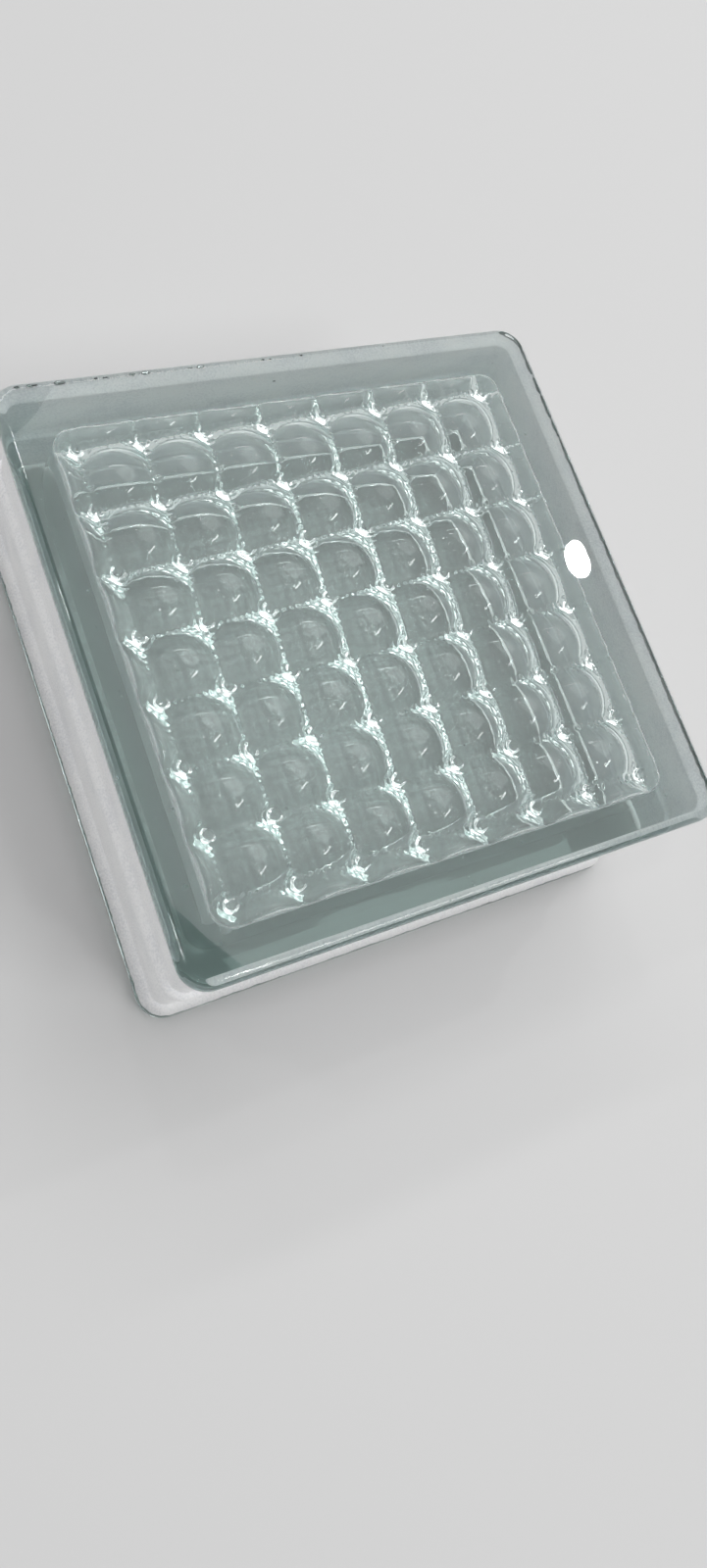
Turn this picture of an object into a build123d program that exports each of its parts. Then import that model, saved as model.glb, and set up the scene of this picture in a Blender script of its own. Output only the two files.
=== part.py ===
"""Hollow glass block: two pressed shells fused rim to rim, with a sprayed edge coat.

The block lies flat. The face of the back shell is on the floor at Z = 0, the fused joint
is the level plane half way up, and the origin is under the middle of the block.
"""
from build123d import *

import os
from math import atan2, ceil, cos, radians, sqrt, tan

# Pressed shell: the square face that shows in a wall, and its depth to the fused joint
face_size = 190.0
shell_depth = 40.0

# Rim of the face: the rounding to the face, the flat nose, the rounding to the channel
rim_radius = 3.0
nose_width = 0.8
shoulder_radius = 2.5

# Mortar channel round the four sides: how far its floor lies behind the rim, its corners,
# and the height of the slope that leads to the floor
channel_depth = 4.0
channel_corner_radius = 5.0
channel_slope_height = 5.5

# Bead of glass along the fused joint, whose flat crest stays behind the rim
bead_recess = 1.8
bead_half_height = 4.0
bead_crest_half_height = 1.7

# Hollow inside: glass thicknesses, the draft that frees the plunger, and its roundings
face_thickness = 6.0
side_wall = 10.5
wall_draft = 4.0
cavity_corner_radius = 7.0
cavity_edge_radius = 4.0

# Dimples pressed into the inside of the face, which leave a lattice of ridges: the radius of
# their hollow sides, the width of the flat at their middle, and how many pairs of sides the
# round of a dimple is divided into
dimple_pitch = 21.0
dimple_radius = 20.0
dimple_flat = 10.0
dimple_side_pairs = 4
lattice_height = 5.0

# White coat sprayed into the channel, and the clear glass left above the rim's shoulder
coat_thickness = 0.4
coat_gap = 0.5

side_count = 4
half_face = face_size / 2
joint_height = shell_depth
block_height = joint_height + shell_depth

channel_floor = half_face - channel_depth
rim_corner_radius = channel_corner_radius + channel_depth
rim_corner_centre = half_face - rim_corner_radius
bead_crest = half_face - bead_recess

slope_lean = atan2(channel_depth, channel_slope_height)
shoulder_reach = shoulder_radius * tan(slope_lean / 2)
slope_foot = rim_radius + nose_width + shoulder_reach
slope_top = slope_foot + channel_slope_height

coat_foot = slope_foot + shoulder_reach * cos(slope_lean) + coat_gap
coat_height = block_height - 2 * coat_foot

cavity_half = channel_floor - side_wall
cavity_corner_centre = cavity_half - cavity_corner_radius
cavity_height = joint_height - face_thickness
wall_lean = cavity_height * tan(radians(wall_draft))
dimple_axis_height = face_thickness + sqrt(dimple_radius**2 - (dimple_flat / 2) ** 2)
dimples_beside_middle = ceil(cavity_half / dimple_pitch - 0.5)
dimples_across = 2 * dimples_beside_middle + 1


def carried_round(section, corner_centre):
    """Carries a section round a square: straight along each side, and turned at each corner.

    The section is drawn level with the centre of one corner. That centre is corner_centre
    away from the middle of the block along both sides.
    """
    corner_axis = Axis((corner_centre, corner_centre, 0), (0, 0, 1))
    with BuildPart() as one_side:
        revolve(section, axis=corner_axis, revolution_arc=360 / side_count)
        extrude(section, amount=2 * corner_centre, dir=(0, -1, 0))
    with BuildPart() as all_sides:
        with PolarLocations(0, side_count):
            add(one_side.part)
    return all_sides.part


# Section of the space beside the block: down the slope of one rim, along the channel and
# over the bead, and up the slope of the other rim
with BuildSketch(Plane.XZ.offset(-rim_corner_centre)) as channel_section:
    with BuildLine():
        lower_flank = Polyline(
            (half_face + channel_depth, slope_foot),
            (half_face, slope_foot),
            (channel_floor, slope_top),
            (channel_floor, joint_height - bead_half_height),
            (bead_crest, joint_height - bead_crest_half_height),
        )
        upper_flank = Polyline(
            (half_face + channel_depth, block_height - slope_foot),
            (half_face, block_height - slope_foot),
            (channel_floor, block_height - slope_top),
            (channel_floor, joint_height + bead_half_height),
            (bead_crest, joint_height + bead_crest_half_height),
        )
        Line(lower_flank @ 1, upper_flank @ 1)
        Line(lower_flank @ 0, upper_flank @ 0)
    make_face()

# Section of the coat: the part of that space that lies against the glass
with BuildSketch(Plane.XZ.offset(-rim_corner_centre)) as coat_section:
    add(channel_section.sketch_local)
    offset(amount=-coat_thickness, kind=Kind.INTERSECTION, mode=Mode.SUBTRACT)
    with Locations((channel_floor, joint_height)):
        Rectangle(2 * channel_depth, coat_height, mode=Mode.INTERSECT)

# One dimple: the shallow vault that level cylinders, turned evenly about its middle, have in
# common, cut to its square cell and to the height of the lattice
with BuildPart() as dimple:
    with BuildSketch(Plane.XY.offset(face_thickness)):
        Rectangle(dimple_pitch, dimple_pitch)
    extrude(amount=lattice_height)
    with Locations((0, 0, dimple_axis_height)):
        for pair in range(dimple_side_pairs):
            turn = 180 * pair / dimple_side_pairs
            Cylinder(dimple_radius, 2 * dimple_pitch, rotation=(90, turn, 0), mode=Mode.INTERSECT)

# Lattice: the ridges and the peaks at their crossings, which the dimples leave between them
with BuildPart() as lattice:
    with BuildSketch(Plane.XY.offset(face_thickness)):
        Rectangle(dimples_across * dimple_pitch, dimples_across * dimple_pitch)
    extrude(amount=lattice_height)
    with GridLocations(dimple_pitch, dimple_pitch, dimples_across, dimples_across):
        add(dimple.part, mode=Mode.SUBTRACT)

# Section of the press plunger outside the centres of its corners: a rounded end edge, and a
# side that is drafted so that the plunger lifts out of the glass
with BuildSketch(Plane.XZ.offset(-cavity_corner_centre)) as plunger_section:
    with BuildLine():
        Polyline(
            (cavity_corner_centre, face_thickness),
            (cavity_half, face_thickness),
            (cavity_half + wall_lean, joint_height),
            (cavity_corner_centre, joint_height),
            close=True,
        )
    make_face()
    end_edge = plunger_section.vertices().group_by(Axis.Y)[0].sort_by(Axis.X)[-1]
    fillet(end_edge, cavity_edge_radius)

# Press plunger that forms the hollow, with the lattice sunk into its end
with BuildPart() as plunger:
    with BuildSketch(Plane.XY.offset(face_thickness)):
        Rectangle(2 * cavity_corner_centre, 2 * cavity_corner_centre)
    extrude(amount=cavity_height)
    add(carried_round(plunger_section.sketch, cavity_corner_centre))
    add(lattice.part, mode=Mode.SUBTRACT)

# Back shell: pressed dish with a rounded rim, half of the channel and half of the bead
with BuildPart() as back_shell:
    with BuildSketch(Plane.XY):
        RectangleRounded(face_size, face_size, rim_corner_radius)
    extrude(amount=shell_depth)
    fillet(back_shell.faces().sort_by(Axis.Z)[0].edges(), rim_radius)
    add(carried_round(channel_section.sketch, rim_corner_centre), mode=Mode.SUBTRACT)
    shoulder_edges = back_shell.edges(Select.LAST).filter_by(Plane.XY).group_by(Axis.Z)[0]
    fillet(shoulder_edges, shoulder_radius)
    add(plunger.part, mode=Mode.SUBTRACT)

# Front shell: a second pressing from the same mould, turned over onto the first
with BuildPart() as front_shell:
    mirror(back_shell.part, about=Plane.XY.offset(joint_height))

# Edge coat: one skin over the channel, the slopes and the bead, all the way round
with BuildPart() as edge_coat:
    add(carried_round(coat_section.sketch, rim_corner_centre))

back_shell.part.label = "back_shell"
front_shell.part.label = "front_shell"
edge_coat.part.label = "edge_coat"

os.makedirs("parts", exist_ok=True)
export_step(back_shell.part, "parts/back_shell.step")
export_step(front_shell.part, "parts/front_shell.step")
export_step(edge_coat.part, "parts/edge_coat.step")
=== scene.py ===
from math import atan2, pi, radians, sin, tan

import bpy
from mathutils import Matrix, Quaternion, Vector


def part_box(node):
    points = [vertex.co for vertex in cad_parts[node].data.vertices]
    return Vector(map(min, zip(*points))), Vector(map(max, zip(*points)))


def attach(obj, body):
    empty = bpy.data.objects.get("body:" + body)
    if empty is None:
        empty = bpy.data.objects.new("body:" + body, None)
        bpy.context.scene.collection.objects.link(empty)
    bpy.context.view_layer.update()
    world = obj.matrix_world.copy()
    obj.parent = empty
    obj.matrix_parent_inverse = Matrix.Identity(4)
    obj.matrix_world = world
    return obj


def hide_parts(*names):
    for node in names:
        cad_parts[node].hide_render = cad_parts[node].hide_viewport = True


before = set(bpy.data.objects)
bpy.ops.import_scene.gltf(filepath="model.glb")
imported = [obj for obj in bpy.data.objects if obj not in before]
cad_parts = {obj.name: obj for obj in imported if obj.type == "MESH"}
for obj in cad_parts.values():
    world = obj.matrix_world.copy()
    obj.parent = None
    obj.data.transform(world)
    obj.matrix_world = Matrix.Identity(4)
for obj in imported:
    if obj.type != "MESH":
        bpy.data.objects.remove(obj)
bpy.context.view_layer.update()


# Glass body: two dishes of clear soda-lime glass, pressed one after the other in the same mould.
# Their rims are melted and pushed together, so they are one closed piece of glass with a
# sealed hollow, a bead along the joint and a lattice of ridges inside both faces.
_, shell_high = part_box("back_shell")
half_face = shell_high.x
joint_height = shell_high.z

# Outside of one shell: the rim, the slope to the channel, and half of the bead
rim_corner_radius = 0.009
rim_radius = 0.003
nose_width = 0.0008
shoulder_radius = 0.0025
channel_depth = 0.004
channel_slope_height = 0.0055
channel_root_radius = 0.0015
bead_recess = 0.0018
bead_half_height = 0.004
bead_shoulder = 0.0025
bead_radius = 0.0035
bead_root_radius = 0.001
face_ring = 0.0004

slope_lean = atan2(channel_depth, channel_slope_height)
shoulder_reach = shoulder_radius * tan(slope_lean / 2)
slope_foot = rim_radius + nose_width + shoulder_reach
slope_top = slope_foot + channel_slope_height

# Inside of one shell: the thicknesses, the drafted walls, and the dimples with their ridges
face_thickness = 0.006
side_wall = 0.0105
wall_draft = radians(4)
hollow_corner_radius = 0.007
hollow_edge_radius = 0.004
dimple_pitch = 0.021
dimple_radius = 0.0195
lattice_height = 0.0062
ridge_rounding = 0.00006
crown_rounding = 0.0016
edge_blend = 0.0004
hollow_half_width = half_face - channel_depth - side_wall

# The dimples are pressed into a level grid, whose rows are crowded onto the ridges. Its width
# is settled step by step, so that its last rows come out at the walls.
rows_per_dimple = 22
crowding = 0.6
settling_steps = 20
ridge_turn = 2 * pi / dimple_pitch
half_grid = hollow_half_width
for _ in range(settling_steps):
    half_grid = hollow_half_width - crowding / ridge_turn * sin(ridge_turn * half_grid)
grid_rows = round(2 * half_grid / dimple_pitch * rows_per_dimple) + 1

# Points closer together than the first are one point. The second keeps a sum from being
# divided by nought.
weld_distance = 0.00001
least_distance = 0.0000001

# Fine relief: the slow waves of the fire-polished skin, and the wrinkles of the lattice, which
# reach a little higher than its ridges and leave out the outer part of the face
skin_wave_height = 0.00005
wrinkle_reach = 1.3 * lattice_height
smooth_skin = 0.6 * face_thickness


def feed(tree, made, values):
    """Links or sets the inputs of a node, which `values` gives by name or by place."""
    for socket, value in values.items():
        if isinstance(value, bpy.types.NodeSocket):
            tree.links.new(value, made.inputs[socket])
        else:
            made.inputs[socket].default_value = value
    return made


def add_node(tree, kind, values=None, **settings):
    """A new node of a tree, with its settings and its inputs."""
    made = tree.nodes.new(kind)
    for name, value in settings.items():
        setattr(made, name, value)
    return feed(tree, made, values or {})


def maths(tree, operation, *values):
    """The result of one sum on numbers or sockets."""
    made = add_node(tree, "ShaderNodeMath", dict(enumerate(values)), operation=operation)
    return made.outputs[0]


def squared(tree, value):
    """A number times itself."""
    return maths(tree, "MULTIPLY", value, value)


def diagonal(tree, x, y):
    """The distance that two distances at right angles make."""
    return maths(tree, "SQRT", maths(tree, "MULTIPLY_ADD", x, x, squared(tree, y)))


def vector_maths(tree, operation, *values):
    """The result of one sum on vectors."""
    made = add_node(tree, "ShaderNodeVectorMath", dict(enumerate(values)), operation=operation)
    return made.outputs[0]


def scaled(tree, vector, factor):
    """A vector times a number."""
    made = add_node(tree, "ShaderNodeVectorMath", {0: vector, "Scale": factor}, operation="SCALE")
    return made.outputs[0]


def new_group(name, kind, inputs, outputs):
    """A node group whose named inputs are (name, socket type, value) and outputs (name, type)."""
    tree = bpy.data.node_groups.new(name, kind)
    for label, socket, value in inputs:
        made = tree.interface.new_socket(label, in_out="INPUT", socket_type=socket)
        if value is not None:
            made.default_value = value
    for label, socket in outputs:
        tree.interface.new_socket(label, in_out="OUTPUT", socket_type=socket)
    return tree, tree.nodes.new("NodeGroupInput").outputs, tree.nodes.new("NodeGroupOutput")


def joined(tree, *meshes):
    """Several meshes as one, with their points still apart."""
    made = add_node(tree, "GeometryNodeJoinGeometry")
    for mesh in meshes:
        tree.links.new(mesh, made.inputs[0])
    return made.outputs[0]


def welded(tree, mesh, distance):
    """A mesh whose points are one where they lie closer together than a distance."""
    made = add_node(tree, "GeometryNodeMergeByDistance", {"Geometry": mesh, "Distance": distance})
    return made.outputs[0]


def with_twin(tree, half, height):
    """The lower half of a piece, fused at a height to the same half laid on it upside down."""
    lift = add_node(tree, "ShaderNodeCombineXYZ", {"Z": maths(tree, "MULTIPLY", height, 2.0)})
    twin = add_node(tree, "GeometryNodeTransform", {
        "Geometry": half, "Translation": lift.outputs[0], "Rotation": (pi, 0, 0),
    }).outputs[0]
    return welded(tree, joined(tree, half, twin), weld_distance)


def finished(tree, mesh, material):
    """A mesh with smooth shading, made real, and with its material."""
    smooth = add_node(tree, "GeometryNodeSetShadeSmooth", {"Geometry": mesh}).outputs[0]
    real = add_node(tree, "GeometryNodeRealizeInstances", {"Geometry": smooth}).outputs[0]
    made = add_node(tree, "GeometryNodeSetMaterial", {"Geometry": real, "Material": material})
    return made.outputs[0]


def rim_sweep():
    """Node group that rounds the corners of a section and carries it round the square rim.

    The section lies flat: X is how far a point stands out from the rim, Y how far it is
    under the joint, and the radius of each point rounds the corner there.
    """
    size = "NodeSocketFloat"
    tree, given, result = new_group("Rim sweep", "GeometryNodeTree", [
        ("Section", "NodeSocketGeometry", None),
        ("Face Size", size, 2 * half_face),
        ("Corner Radius", size, rim_corner_radius),
        ("Joint Height", size, joint_height),
        ("Section Steps", "NodeSocketInt", 10),
        ("Corner Steps", "NodeSocketInt", 14),
    ], [("Mesh", "NodeSocketGeometry")])
    radius = add_node(tree, "GeometryNodeInputRadius").outputs[0]
    section = add_node(tree, "GeometryNodeFilletCurve", {
        "Curve": given["Section"], "Count": given["Section Steps"], "Radius": radius,
    }, mode="POLY").outputs[0]
    square = add_node(tree, "GeometryNodeCurvePrimitiveQuadrilateral", {
        "Width": given["Face Size"], "Height": given["Face Size"],
    }).outputs[0]
    rim = add_node(tree, "GeometryNodeFilletCurve", {
        "Curve": square, "Count": given["Corner Steps"], "Radius": given["Corner Radius"],
    }, mode="POLY").outputs[0]
    skin = add_node(tree, "GeometryNodeCurveToMesh", {
        "Curve": rim, "Profile Curve": section,
    }).outputs[0]
    height = add_node(tree, "ShaderNodeCombineXYZ", {"Z": given["Joint Height"]}).outputs[0]
    raised = add_node(tree, "GeometryNodeTransform", {
        "Geometry": skin, "Translation": height,
    }).outputs[0]
    feed(tree, result, {"Mesh": raised})
    return tree


def open_edges(tree):
    """Selects the edges that only one face uses."""
    neighbours = add_node(tree, "GeometryNodeInputMeshEdgeNeighbors").outputs[0]
    return add_node(tree, "FunctionNodeCompare", {2: neighbours, 3: 1},
                    data_type="INT", operation="EQUAL").outputs[0]


def pressed_lattice():
    """Node group for the inside of one shell: dimples, rounded edge and drafted walls."""
    size = "NodeSocketFloat"
    tree, given, result = new_group("Pressed lattice", "GeometryNodeTree", [
        ("Grid Size", size, 2 * half_grid),
        ("Grid Rows", "NodeSocketInt", grid_rows),
        ("Crowding", size, crowding),
        ("Half Width", size, hollow_half_width),
        ("Corner Radius", size, hollow_corner_radius),
        ("Edge Radius", size, hollow_edge_radius),
        ("Dimple Pitch", size, dimple_pitch),
        ("Dimple Radius", size, dimple_radius),
        ("Lattice Height", size, lattice_height),
        ("Face Thickness", size, face_thickness),
        ("Joint Height", size, joint_height),
        ("Wall Draft", size, wall_draft),
        ("Ridge Rounding", size, ridge_rounding),
        ("Crown Rounding", size, crown_rounding),
        ("Edge Blend", size, edge_blend),
    ], [("Mesh", "NodeSocketGeometry")])
    half_width, pitch, edge = given["Half Width"], given["Dimple Pitch"], given["Edge Radius"]
    grid = add_node(tree, "GeometryNodeMeshGrid", {
        "Size X": given["Grid Size"], "Size Y": given["Grid Size"],
        "Vertices X": given["Grid Rows"], "Vertices Y": given["Grid Rows"],
    }).outputs[0]
    place = add_node(tree, "GeometryNodeInputPosition").outputs[0]
    across = add_node(tree, "ShaderNodeSeparateXYZ", {"Vector": place}).outputs

    turn = maths(tree, "DIVIDE", 2 * pi, pitch)
    sway = maths(tree, "DIVIDE", given["Crowding"], turn)
    quarter = maths(tree, "DIVIDE", pi / 2, edge)
    core = maths(tree, "SUBTRACT", half_width, given["Corner Radius"])

    def crowd(along):
        """Brings the rows closer together on the ridges and up the rounded edge.

        Gives the new distance from the middle, which side it is on, and what is left to
        the wall.
        """
        swayed = maths(tree, "SINE", maths(tree, "MULTIPLY", along, turn))
        moved = maths(tree, "ADD", along, maths(tree, "MULTIPLY", sway, swayed))
        side = maths(tree, "SIGN", moved)
        short_of_wall = maths(tree, "SUBTRACT", half_width, maths(tree, "ABSOLUTE", moved))
        left = maths(tree, "MAXIMUM", short_of_wall, 0.0)
        inside_edge = maths(tree, "MINIMUM", left, edge)
        round_part = maths(tree, "COSINE", maths(tree, "MULTIPLY", inside_edge, quarter))
        from_wall = maths(tree, "MULTIPLY", edge, maths(tree, "SUBTRACT", 1.0, round_part))
        beyond = maths(tree, "SUBTRACT", left, inside_edge)
        wall = maths(tree, "ADD", from_wall, beyond)
        return maths(tree, "SUBTRACT", half_width, wall), side, wall

    far_x, side_x, wall_x = crowd(across["X"])
    far_y, side_y, wall_y = crowd(across["Y"])
    out_x = maths(tree, "MAXIMUM", maths(tree, "SUBTRACT", far_x, core), 0.0)
    out_y = maths(tree, "MAXIMUM", maths(tree, "SUBTRACT", far_y, core), 0.0)
    ring = maths(tree, "MAXIMUM", out_x, out_y)
    reach = maths(tree, "MAXIMUM", diagonal(tree, out_x, out_y), least_distance)
    squeeze = maths(tree, "DIVIDE", ring, reach)

    def rounded(far, out, side):
        """A coordinate after the corner of the square is drawn in to its radius."""
        kept = maths(tree, "SUBTRACT", far, out)
        return maths(tree, "MULTIPLY", side, maths(tree, "MULTIPLY_ADD", out, squeeze, kept))

    x = rounded(far_x, out_x, side_x)
    y = rounded(far_y, out_y, side_y)

    def to_dimple(along):
        """Squared distance to the nearest row of dimples, eased over the ridge between two."""
        near = maths(tree, "PINGPONG", along, maths(tree, "MULTIPLY", pitch, 0.5))
        next_one = maths(tree, "SUBTRACT", pitch, near)
        return maths(tree, "SMOOTH_MIN", squared(tree, near), squared(tree, next_one),
                     given["Ridge Rounding"])

    ball = given["Dimple Radius"]
    off_centre = maths(tree, "ADD", to_dimple(x), to_dimple(y))
    drop = maths(tree, "SQRT", maths(tree, "SUBTRACT", squared(tree, ball), off_centre))
    bowl = maths(tree, "SUBTRACT", ball, drop)
    capped = maths(tree, "SMOOTH_MIN", bowl, given["Lattice Height"], given["Crown Rounding"])
    wall = maths(tree, "MINIMUM", wall_x, wall_y)
    lean = maths(tree, "MAXIMUM", maths(tree, "SUBTRACT", edge, wall), 0.0)
    round_left = maths(tree, "SUBTRACT", squared(tree, edge), squared(tree, lean))
    fall = maths(tree, "SQRT", maths(tree, "MAXIMUM", round_left, 0.0))
    rise = maths(tree, "SUBTRACT", edge, fall)
    relief = maths(tree, "SMOOTH_MAX", capped, rise, given["Edge Blend"])
    z = maths(tree, "ADD", given["Face Thickness"], relief)
    pressed = add_node(tree, "ShaderNodeCombineXYZ", {"X": x, "Y": y, "Z": z}).outputs[0]
    inside_face = add_node(tree, "GeometryNodeSetPosition", {
        "Geometry": grid, "Position": pressed,
    }).outputs[0]

    core_corner = add_node(tree, "ShaderNodeCombineXYZ", {"X": core, "Y": core}).outputs[0]
    inner_corner = scaled(tree, core_corner, -1.0)
    no_further = vector_maths(tree, "MINIMUM", place, core_corner)
    held = vector_maths(tree, "MAXIMUM", no_further, inner_corner)

    def wall_ring(mesh, height, spread):
        """One more ring of wall: the open edge is drawn up to a height and out by a spread."""
        drawn = add_node(tree, "GeometryNodeExtrudeMesh", {
            "Mesh": mesh, "Selection": open_edges(tree), "Offset Scale": 0.0,
        }, mode="EDGES")
        grown = maths(tree, "ADD", 1.0, maths(tree, "DIVIDE", spread, given["Corner Radius"]))
        out = scaled(tree, vector_maths(tree, "SUBTRACT", place, held), grown)
        flat = add_node(tree, "ShaderNodeSeparateXYZ", {
            "Vector": vector_maths(tree, "ADD", held, out),
        }).outputs
        target = add_node(tree, "ShaderNodeCombineXYZ", {
            "X": flat["X"], "Y": flat["Y"], "Z": height,
        }).outputs[0]
        return add_node(tree, "GeometryNodeSetPosition", {
            "Geometry": drawn.outputs["Mesh"], "Selection": drawn.outputs["Top"], "Position": target,
        }).outputs[0]

    wall_foot = maths(tree, "ADD", given["Face Thickness"], given["Lattice Height"])
    wall_height = maths(tree, "SUBTRACT", given["Joint Height"], wall_foot)
    draft = maths(tree, "MULTIPLY", wall_height, maths(tree, "TANGENT", given["Wall Draft"]))
    stub = wall_ring(inside_face, wall_foot, 0.0)
    feed(tree, result, {"Mesh": wall_ring(stub, given["Joint Height"], draft)})
    return tree


def fused_shells(sweep, glass):
    """Node tree that closes one shell, lays its twin on it upside down and fuses the two."""
    size = "NodeSocketFloat"
    tree, given, result = new_group("Fused shells", "GeometryNodeTree", [
        ("Section", "NodeSocketGeometry", None),
        ("Face Size", size, 2 * half_face),
        ("Joint Height", size, joint_height),
        ("Hollow Width", size, 2 * hollow_half_width),
        ("Dimple Pitch", size, dimple_pitch),
        ("Dimple Radius", size, dimple_radius),
        ("Lattice Height", size, lattice_height),
        ("Grid Size", size, 2 * half_grid),
        ("Grid Rows", "NodeSocketInt", grid_rows),
    ], [("Geometry", "NodeSocketGeometry")])
    skin = add_node(tree, "GeometryNodeGroup", node_tree=sweep)
    feed(tree, skin, {name: given[name] for name in ("Section", "Face Size", "Joint Height")})
    skin_mesh = skin.outputs[0]

    place = add_node(tree, "GeometryNodeInputPosition").outputs[0]
    height = add_node(tree, "ShaderNodeSeparateXYZ", {"Vector": place}).outputs["Z"]
    half_way = maths(tree, "MULTIPLY", given["Joint Height"], 0.5)
    low = add_node(tree, "FunctionNodeCompare", {0: height, 1: half_way},
                   data_type="FLOAT", operation="LESS_THAN").outputs[0]
    face_edge = add_node(tree, "FunctionNodeBooleanMath", {0: open_edges(tree), 1: low},
                         operation="AND").outputs[0]
    outline = add_node(tree, "GeometryNodeMeshToCurve", {
        "Mesh": skin_mesh, "Selection": face_edge,
    }).outputs[0]
    face = add_node(tree, "GeometryNodeFillCurve", {"Curve": outline}, mode="NGONS").outputs[0]
    face_down = add_node(tree, "GeometryNodeFlipFaces", {"Mesh": face}).outputs[0]

    hollow = add_node(tree, "GeometryNodeGroup", node_tree=pressed_lattice())
    feed(tree, hollow, {name: given[name] for name in (
        "Grid Size", "Grid Rows", "Dimple Pitch", "Dimple Radius", "Lattice Height", "Joint Height")})
    feed(tree, hollow, {"Half Width": maths(tree, "MULTIPLY", given["Hollow Width"], 0.5)})

    shell = joined(tree, skin_mesh, face_down, hollow.outputs[0])
    fused = with_twin(tree, shell, given["Joint Height"])
    feed(tree, result, {"Geometry": finished(tree, fused, glass)})
    return tree


def section_curve(name, corners):
    """A curve object through the corners, given as (out from the rim, under the joint, radius)."""
    curve = bpy.data.curves.new(name, "CURVE")
    curve.dimensions = "3D"
    spline = curve.splines.new("POLY")
    spline.points.add(len(corners) - 1)
    for point, (out, under, radius) in zip(spline.points, corners):
        point.co = (out, under, 0, 1)
        point.radius = radius
    made = bpy.data.objects.new(name, curve)
    bpy.context.scene.collection.objects.link(made)
    return made


def made_mesh(source, name, tree, sizes):
    """Runs a tree on an object, with its inputs by name, and keeps the result as a plain mesh."""
    modifier = source.modifiers.new("Made", "NODES")
    modifier.node_group = tree
    for item in tree.interface.items_tree:
        if item.name in sizes and item.in_out == "INPUT":
            modifier[item.identifier] = sizes[item.name]
    bpy.context.view_layer.update()
    graph = bpy.context.evaluated_depsgraph_get()
    mesh = bpy.data.meshes.new_from_object(source.evaluated_get(graph), depsgraph=graph)
    source.modifiers.remove(modifier)
    bpy.data.objects.remove(source)
    mesh.name = name
    piece = bpy.data.objects.new(name, mesh)
    bpy.context.scene.collection.objects.link(piece)
    return piece


def new_material(name):
    """An empty material with its output node and a Principled shader."""
    material = bpy.data.materials.new(name)
    material.use_nodes = True
    tree = material.node_tree
    tree.nodes.clear()
    output = tree.nodes.new("ShaderNodeOutputMaterial")
    shader = tree.nodes.new("ShaderNodeBsdfPrincipled")
    tree.links.new(shader.outputs[0], output.inputs["Surface"])
    return material, tree, shader, output


def handled_glass():
    """Shader node group for what pressing and handling leave on glass.

    Height is the slow waviness of a fire-polished skin. Roughness is raised on grains of
    dust and faintly in the smudges.
    """
    number = "NodeSocketFloat"
    tree, given, result = new_group("Handled glass", "ShaderNodeTree", [
        ("Place", "NodeSocketVector", None),
        ("Wave Scale", number, 55.0),
        ("Dust Scale", number, 230.0),
        ("Dust Size", number, 0.11),
        ("Dust Share", number, 0.35),
        ("Dust Roughness", number, 0.7),
        ("Smudge Scale", number, 16.0),
        ("Smudge Roughness", number, 0.05),
    ], [("Height", number), ("Roughness", number)])
    waves = add_node(tree, "ShaderNodeTexNoise", {
        "Vector": given["Place"], "Scale": given["Wave Scale"], "Detail": 0.0,
    }).outputs["Fac"]
    grains = add_node(tree, "ShaderNodeTexVoronoi", {
        "Vector": given["Place"], "Scale": given["Dust Scale"],
    })
    drawn = add_node(tree, "ShaderNodeSeparateColor", {"Color": grains.outputs["Color"]}).outputs
    chosen = maths(tree, "LESS_THAN", drawn["Red"], given["Dust Share"])
    width = maths(tree, "MULTIPLY", given["Dust Size"], drawn["Green"])
    on_grain = maths(tree, "LESS_THAN", grains.outputs["Distance"], width)
    dust = maths(tree, "MULTIPLY", chosen, on_grain)
    smears = add_node(tree, "ShaderNodeTexNoise", {
        "Vector": given["Place"], "Scale": given["Smudge Scale"], "Detail": 2.0, "Roughness": 0.65,
    }).outputs["Fac"]
    smudge = add_node(tree, "ShaderNodeMapRange", {
        "Value": smears, "From Min": 0.55, "From Max": 0.75, "To Max": given["Smudge Roughness"],
    }).outputs[0]
    feed(tree, result, {
        "Height": waves,
        "Roughness": maths(tree, "MULTIPLY_ADD", dust, given["Dust Roughness"], smudge),
    })
    return tree


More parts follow.
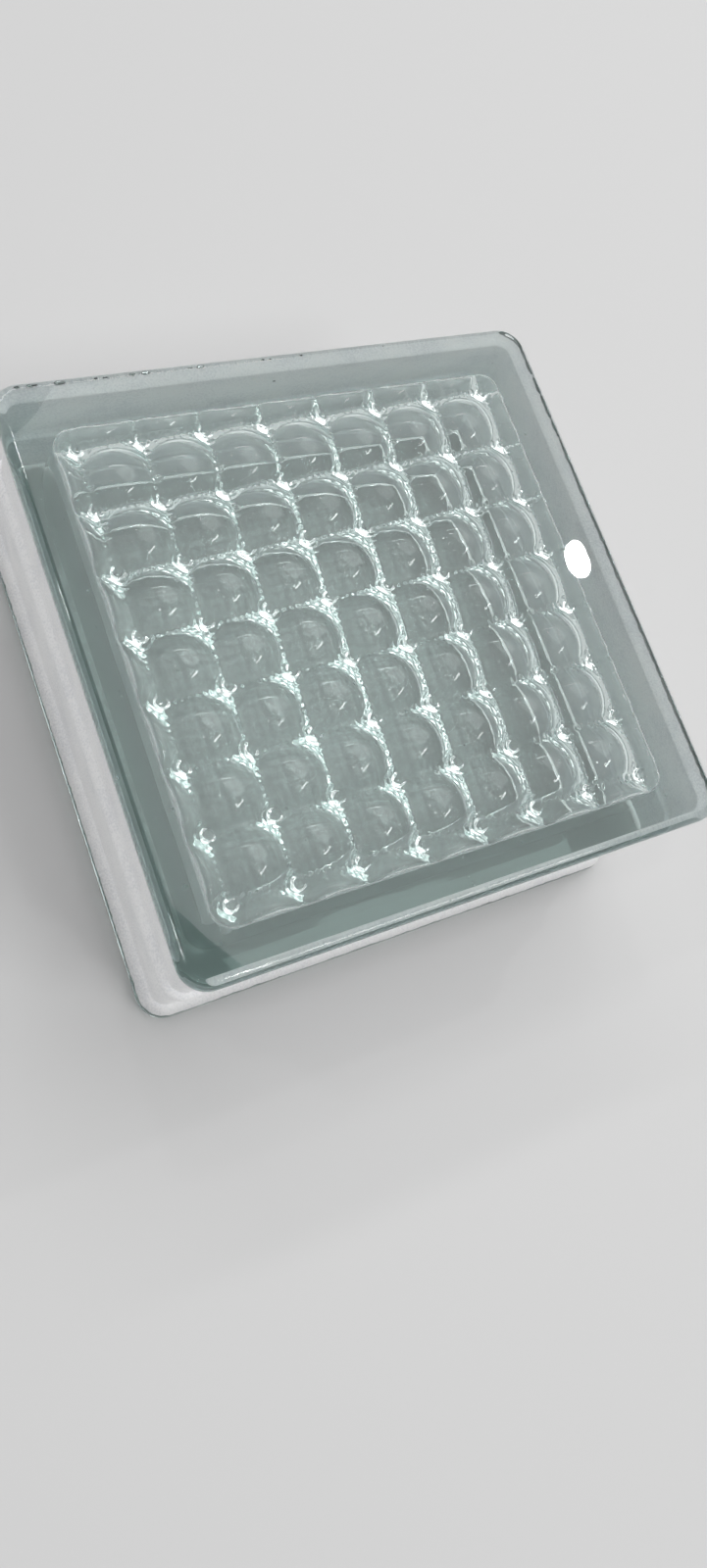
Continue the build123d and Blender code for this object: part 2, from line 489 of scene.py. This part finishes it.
def press_ripples():
    """Shader node group for the chill wrinkles that a plunger leaves on the ridges it presses.

    Height, in metres, is a set of broken rings round each crossing and of short steps along
    the ridges, on the lattice alone.
    """
    size = "NodeSocketFloat"
    tree, given, result = new_group("Press ripples", "ShaderNodeTree", [
        ("Place", "NodeSocketVector", None),
        ("Dimple Pitch", size, dimple_pitch),
        ("Half Width", size, hollow_half_width),
        ("Middle Height", size, joint_height),
        ("Lattice Level", size, joint_height - face_thickness - wrinkle_reach),
        ("Skin Level", size, joint_height - smooth_skin),
        ("Ring Length", size, 0.0021),
        ("Ring Reach", size, 0.0027),
        ("Ring Height", size, 0.00012),
        ("Step Length", size, 0.0024),
        ("Step Reach", size, 0.0011),
        ("Step Height", size, 0.00008),
        ("Waver", size, 0.0016),
        ("Waver Scale", size, 260.0),
    ], [("Height", size)])
    shake = add_node(tree, "ShaderNodeTexNoise", {
        "Vector": given["Place"], "Scale": given["Waver Scale"], "Detail": 0.0,
    }).outputs["Fac"]
    shift = maths(tree, "MULTIPLY", maths(tree, "SUBTRACT", shake, 0.5), given["Waver"])
    place = vector_maths(tree, "ADD", given["Place"], shift)
    at = add_node(tree, "ShaderNodeSeparateXYZ", {"Vector": place}).outputs
    still = add_node(tree, "ShaderNodeSeparateXYZ", {"Vector": given["Place"]}).outputs
    half_pitch = maths(tree, "MULTIPLY", given["Dimple Pitch"], 0.5)

    def to_ridge(along):
        """Distance to the nearest ridge across one direction."""
        return maths(tree, "SUBTRACT", half_pitch, maths(tree, "PINGPONG", along, half_pitch))

    def faded(distance, reach):
        """One on the spot, falling smoothly to nothing past a reach."""
        share = maths(tree, "DIVIDE", distance, reach)
        return maths(tree, "EXPONENT", maths(tree, "MULTIPLY", squared(tree, share), -1.0))

    def fading_wave(distance, length, from_ridge, reach):
        """A wave of one unit of height along a distance, which fades out from a ridge."""
        waves = maths(tree, "MULTIPLY", maths(tree, "DIVIDE", distance, length), 2 * pi)
        return maths(tree, "MULTIPLY", maths(tree, "SINE", waves), faded(from_ridge, reach))

    ridge_x, ridge_y = to_ridge(at["X"]), to_ridge(at["Y"])
    off_crossing = diagonal(tree, ridge_x, ridge_y)
    rings = fading_wave(off_crossing, given["Ring Length"], off_crossing, given["Ring Reach"])
    steps_x = fading_wave(at["Y"], given["Step Length"], ridge_x, given["Step Reach"])
    steps_y = fading_wave(at["X"], given["Step Length"], ridge_y, given["Step Reach"])
    steps = maths(tree, "MULTIPLY", maths(tree, "ADD", steps_x, steps_y), given["Step Height"])
    relief = maths(tree, "MULTIPLY_ADD", rings, given["Ring Height"], steps)

    from_middle = maths(tree, "ABSOLUTE", maths(tree, "SUBTRACT", still["Z"], given["Middle Height"]))
    in_lattice = maths(tree, "GREATER_THAN", from_middle, given["Lattice Level"])
    under_skin = maths(tree, "LESS_THAN", from_middle, given["Skin Level"])
    off_x, off_y = maths(tree, "ABSOLUTE", still["X"]), maths(tree, "ABSOLUTE", still["Y"])
    in_hollow = maths(tree, "LESS_THAN", maths(tree, "MAXIMUM", off_x, off_y), given["Half Width"])
    inside = maths(tree, "MULTIPLY", maths(tree, "MULTIPLY", in_lattice, in_hollow), under_skin)
    feed(tree, result, {"Height": maths(tree, "MULTIPLY", relief, inside)})
    return tree


def clear_glass():
    """Fire-polished glass, faintly green, rippled along the ridges of its lattice."""
    material, tree, shader, output = new_material("clear_glass")
    place = add_node(tree, "ShaderNodeTexCoord").outputs["Object"]
    handled = add_node(tree, "ShaderNodeGroup", node_tree=handled_glass())
    feed(tree, handled, {"Place": place})
    ripples = add_node(tree, "ShaderNodeGroup", node_tree=press_ripples())
    feed(tree, ripples, {"Place": place})
    skin = maths(tree, "MULTIPLY_ADD", handled.outputs["Height"], skin_wave_height,
                 ripples.outputs["Height"])
    bump = add_node(tree, "ShaderNodeBump", {"Height": skin, "Strength": 1.0, "Distance": 1.0})
    feed(tree, shader, {
        "Base Color": (0.93, 0.985, 0.975, 1),
        "Roughness": handled.outputs["Roughness"],
        "IOR": 1.52,
        "Transmission Weight": 1.0,
        "Normal": bump.outputs[0],
    })
    tint = add_node(tree, "ShaderNodeVolumeAbsorption", {"Color": (0.5, 0.93, 0.85, 1), "Density": 4.0})
    tree.links.new(tint.outputs[0], output.inputs["Volume"])
    return material


channel_section = [
    (-bead_recess, 0.0, 0.0),
    (-bead_recess, bead_shoulder, bead_radius),
    (-channel_depth, bead_half_height, bead_root_radius),
    (-channel_depth, joint_height - slope_top, channel_root_radius),
]
rim_section = [
    (0.0, joint_height - slope_foot, shoulder_radius),
    (0.0, joint_height, rim_radius),
    (-rim_radius - face_ring, joint_height, 0.0),
]

sweep = rim_sweep()
glass_curve = section_curve("glass_section", channel_section + rim_section)
glass_body = made_mesh(glass_curve, "glass_body", fused_shells(sweep, clear_glass()), {
    "Hollow Width": 2 * hollow_half_width,
    "Dimple Radius": dimple_radius,
    "Grid Size": 2 * half_grid,
    "Grid Rows": grid_rows,
})
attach(glass_body, "root")
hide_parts("front_shell", "back_shell")


# Edge coat: a thin white polymer paint, sprayed into the channel on all four sides when the
# glass has cooled, so that light does not leave by the sides and mortar has a grip. It is
# gritty outside, smooth where it sticks to the glass, and ragged along its edges.
coat_thickness = 0.00035
coat_bond = 0.00005
coat_weld_distance = 0.000001
coat_gap = 0.0005
coat_reach = 0.0006
coat_foot = slope_foot + shoulder_reach + coat_gap
coat_end = coat_foot - coat_reach

# Where the paint stops: its mean edge, how far it wanders, and how many chips are off it
edge_from_joint = joint_height - coat_foot + 0.5 * coat_reach
edge_wander = 2.0 * coat_reach
chip_share = 0.035
chip_size = 0.16

# The paint is whiter where it is thick, and its thickness follows its grit and its clouds
thin_paint = (0.78, 0.79, 0.81, 1)
thick_paint = (0.94, 0.94, 0.95, 1)
grit_part = 0.6
cloud_part = 0.4


def sprayed_skin(sweep, paint):
    """Node tree for a thin closed skin on the section of one shell and on its twin."""
    size = "NodeSocketFloat"
    tree, given, result = new_group("Sprayed skin", "GeometryNodeTree", [
        ("Section", "NodeSocketGeometry", None),
        ("Joint Height", size, joint_height),
        ("Thickness", size, coat_thickness),
        ("Bond", size, coat_bond),
    ], [("Geometry", "NodeSocketGeometry")])
    half = add_node(tree, "GeometryNodeGroup", node_tree=sweep)
    feed(tree, half, {name: given[name] for name in ("Section", "Joint Height")})
    ring = with_twin(tree, half.outputs[0], given["Joint Height"])
    normal = add_node(tree, "GeometryNodeInputNormal").outputs[0]
    inward = scaled(tree, normal, maths(tree, "MULTIPLY", given["Bond"], -1.0))
    bonded = add_node(tree, "GeometryNodeSetPosition", {"Geometry": ring, "Offset": inward}).outputs[0]
    inside = add_node(tree, "GeometryNodeFlipFaces", {"Mesh": bonded}).outputs[0]
    outside = add_node(tree, "GeometryNodeExtrudeMesh", {
        "Mesh": bonded, "Offset Scale": maths(tree, "ADD", given["Thickness"], given["Bond"]),
        "Individual": False,
    }, mode="FACES").outputs["Mesh"]
    closed = welded(tree, joined(tree, inside, outside), coat_weld_distance)
    feed(tree, result, {"Geometry": finished(tree, closed, paint)})
    return tree


def blend(tree, factor, low, high):
    """A colour between two colours."""
    mixed = add_node(tree, "ShaderNodeMix", {"Factor": factor}, data_type="RGBA")
    for socket, colour in zip([given for given in mixed.inputs if given.type == "RGBA"], (low, high)):
        socket.default_value = colour
    return next(made for made in mixed.outputs if made.type == "RGBA")


def white_coat():
    """Matt white paint with a fine grit, a few chips, and edges worn through to the glass."""
    material, tree, shader, _ = new_material("white_coat")
    place = add_node(tree, "ShaderNodeTexCoord").outputs["Object"]

    def noise(scale, detail):
        """A noise all through the piece."""
        made = add_node(tree, "ShaderNodeTexNoise", {"Vector": place, "Scale": scale, "Detail": detail})
        return made.outputs["Fac"]

    grit = noise(1500.0, 3.0)
    bump = add_node(tree, "ShaderNodeBump", {"Height": grit, "Strength": 0.6, "Distance": 0.0003})
    clouds = maths(tree, "MULTIPLY", noise(70.0, 3.0), cloud_part)
    shade = add_node(tree, "ShaderNodeMapRange", {
        "Value": maths(tree, "MULTIPLY_ADD", grit, grit_part, clouds),
        "From Min": 0.36, "From Max": 0.56,
    }).outputs[0]
    paint = blend(tree, shade, thin_paint, thick_paint)

    height = add_node(tree, "ShaderNodeSeparateXYZ", {"Vector": place}).outputs["Z"]
    from_joint = maths(tree, "ABSOLUTE", maths(tree, "SUBTRACT", height, joint_height))
    wander = noise(300.0, 4.0)
    off_mean = maths(tree, "SUBTRACT", wander, 0.5)
    edge = maths(tree, "MULTIPLY_ADD", off_mean, edge_wander, edge_from_joint)
    covered = maths(tree, "LESS_THAN", from_joint, edge)

    flakes = add_node(tree, "ShaderNodeTexVoronoi", {"Vector": place, "Scale": 90.0})
    drawn = add_node(tree, "ShaderNodeSeparateColor", {"Color": flakes.outputs["Color"]}).outputs
    chipped = maths(tree, "LESS_THAN", drawn["Red"], chip_share)
    reach = maths(tree, "MULTIPLY", chipped, maths(tree, "MULTIPLY", wander, chip_size))
    kept = maths(tree, "GREATER_THAN", flakes.outputs["Distance"], reach)
    feed(tree, shader, {
        "Base Color": paint,
        "Roughness": 0.8,
        "Normal": bump.outputs[0],
        "Alpha": maths(tree, "MULTIPLY", covered, kept),
        "Subsurface Weight": 1.0,
        "Subsurface Radius": (1.0, 1.0, 1.0),
        "Subsurface Scale": 0.0004,
    })
    return material


coat_section = channel_section + [
    (-(coat_end - slope_foot) / channel_slope_height * channel_depth, joint_height - coat_end, 0.0),
]
coat_curve = section_curve("coat_section", coat_section)
coat_skin = made_mesh(coat_curve, "coat_skin", sprayed_skin(sweep, white_coat()), {
    "Thickness": coat_thickness,
})
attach(coat_skin, "root")
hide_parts("edge_coat")


# Floor: a plain pale sheet, a hair under the block, which lies on it without sticking to it.
# Its colour is painted paler far away, a painted light that makes up for the less light that reaches it
# there.
floor_gap = 0.0002
floor_reach = 6.0
near_floor = (0.56, 0.56, 0.56, 1)
# Painted light: the far colour is paler to stand in for light that does not reach so far
far_floor_painted_light = (0.95, 0.95, 0.95, 1)

floor_mesh = bpy.data.meshes.new("floor")
floor_mesh.from_pydata([
    (-floor_reach, -floor_reach, -floor_gap), (floor_reach, -floor_reach, -floor_gap),
    (floor_reach, floor_reach, -floor_gap), (-floor_reach, floor_reach, -floor_gap),
], [], [(0, 1, 2, 3)])
floor = bpy.data.objects.new("floor", floor_mesh)
bpy.context.scene.collection.objects.link(floor)
floor_paint, floor_tree, floor_shader, _ = new_material("pale_floor")
floor_place = add_node(floor_tree, "ShaderNodeTexCoord").outputs["Object"]
from_block = add_node(floor_tree, "ShaderNodeVectorMath", {0: floor_place}, operation="LENGTH")
# Share of the painted light, from none near the block to all of it far away
painted_light_share = add_node(floor_tree, "ShaderNodeMapRange", {
    "Value": from_block.outputs["Value"], "From Min": 0.8, "From Max": 4.0,
}).outputs[0]
floor_with_painted_light = blend(floor_tree, painted_light_share, near_floor, far_floor_painted_light)
feed(floor_tree, floor_shader, {"Base Color": floor_with_painted_light, "Roughness": 0.9})
floor_mesh.materials.append(floor_paint)


# Light and camera: a pale room with soft boxes and a few bulbs, seen from above one corner of
# the block. A path of light crosses many skins of glass, so it may bounce often.
scene = bpy.context.scene
scene.view_settings.view_transform = "Standard"
scene.cycles.max_bounces = 32
scene.cycles.diffuse_bounces = 16
scene.cycles.transmission_bounces = 32
scene.cycles.glossy_bounces = 16
scene.cycles.transparent_max_bounces = 32
scene.cycles.sample_clamp_indirect = 30

world = bpy.data.worlds.new("room")
scene.world = world
world.use_nodes = True
background = world.node_tree.nodes["Background"]
background.inputs["Color"].default_value = (0.5, 0.5, 0.5, 1)
background.inputs["Strength"].default_value = 1.0

block_middle = Vector((0, 0, joint_height))
bulb_places = [
    (-0.4, -0.7, 1.9), (-1.2, 0.9, 1.8), (0.4, -1.0, 1.7), (-0.8, 0.1, 2.1), (0.05, 1.2, 2.0),
]


def soft_box(name, place, size, power, roll=0.0, shape="RECTANGLE"):
    """A soft light that faces the middle of the block, turned about its own by a roll."""
    lamp = bpy.data.lights.new(name, "AREA")
    lamp.shape = shape
    lamp.size, lamp.size_y = size
    lamp.energy = power
    made = bpy.data.objects.new(name, lamp)
    made.location = place
    facing = (made.location - block_middle).to_track_quat("Z", "Y")
    made.rotation_euler = (facing @ Quaternion((0, 0, 1), roll)).to_euler()
    scene.collection.objects.link(made)


soft_box("window", (0.93, 0.395, 1.15), (0.042, 0.06), 1.2, roll=radians(65), shape="ELLIPSE")
soft_box("ceiling_panel", (1.1, 0.7, 2.0), (1.9, 1.9), 20)
soft_box("front_window", (0.75, -1.0, 1.5), (0.9, 0.16), 8)
soft_box("back_strip", (0.3, 2.2, 2.2), (2.0, 0.15), 11)
for number, bulb_place in enumerate(bulb_places, start=1):
    soft_box(f"bulb_{number}", bulb_place, (0.12, 0.12), 1.7, shape="DISK")

camera_place = (-0.15890, -0.10756, 0.37919)
camera_angles = (radians(17.513), radians(-18.718), radians(-21.132))
focal_length = 25.65
camera_data = bpy.data.cameras.new("camera")
camera_data.lens = focal_length
camera_data.clip_start = 0.01
camera = bpy.data.objects.new("camera", camera_data)
camera.location = camera_place
camera.rotation_euler = camera_angles
scene.collection.objects.link(camera)
scene.camera = camera
